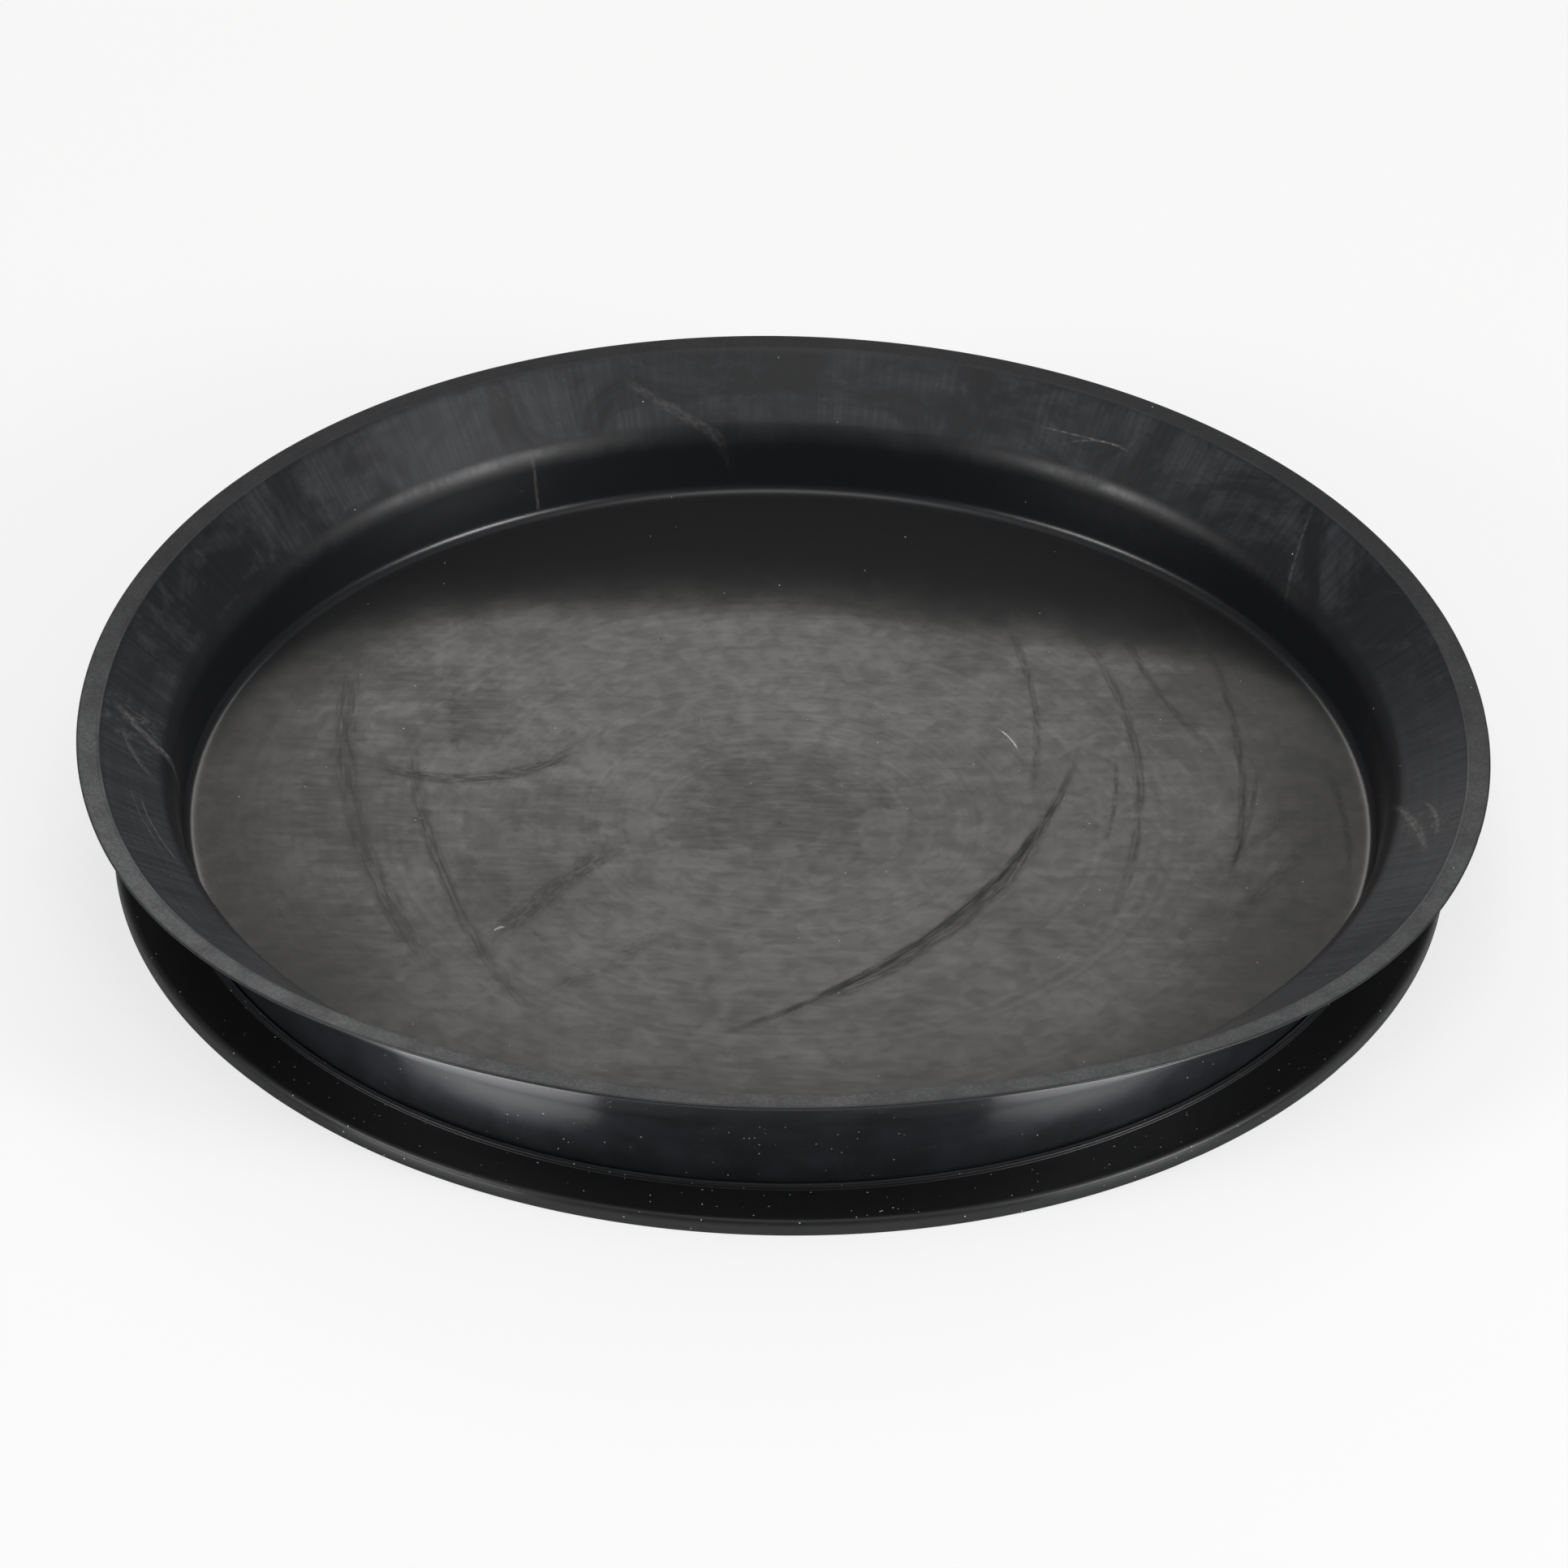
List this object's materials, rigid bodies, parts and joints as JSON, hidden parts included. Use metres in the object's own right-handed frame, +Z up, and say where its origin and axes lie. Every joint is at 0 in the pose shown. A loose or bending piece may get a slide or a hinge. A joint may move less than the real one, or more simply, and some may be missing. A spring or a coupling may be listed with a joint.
{
  "type": "oil drain pan",
  "caption": "Round black rubber drain pan with a leaning wall and a wide flared lip, standing in a low locating ring on a flat flanged base disc.",
  "frame": {"origin": "centre of the base disc's flat underside, on the ground", "axes": "+Z up, +X to the pan's right, -Y to its front, where the lip stands highest"},
  "size_m": [0.4976, 0.4855, 0.0596],
  "materials": {
    "pan_rubber": "semi-matt moulded black rubber, scuffed and dusty, with rubbed marks on the floor",
    "base_rubber": "matt moulded black rubber with dust specks"
  },
  "bodies": {
    "base": {"base_disc": "base_rubber"},
    "pan": {"pan": "pan_rubber"}
  },
  "joints": [
    {"name": "pan_lift", "type": "slide", "parent": "base", "child": "pan", "axis": [0, 0, 1], "range_m": [0, 0.1]}
  ]
}
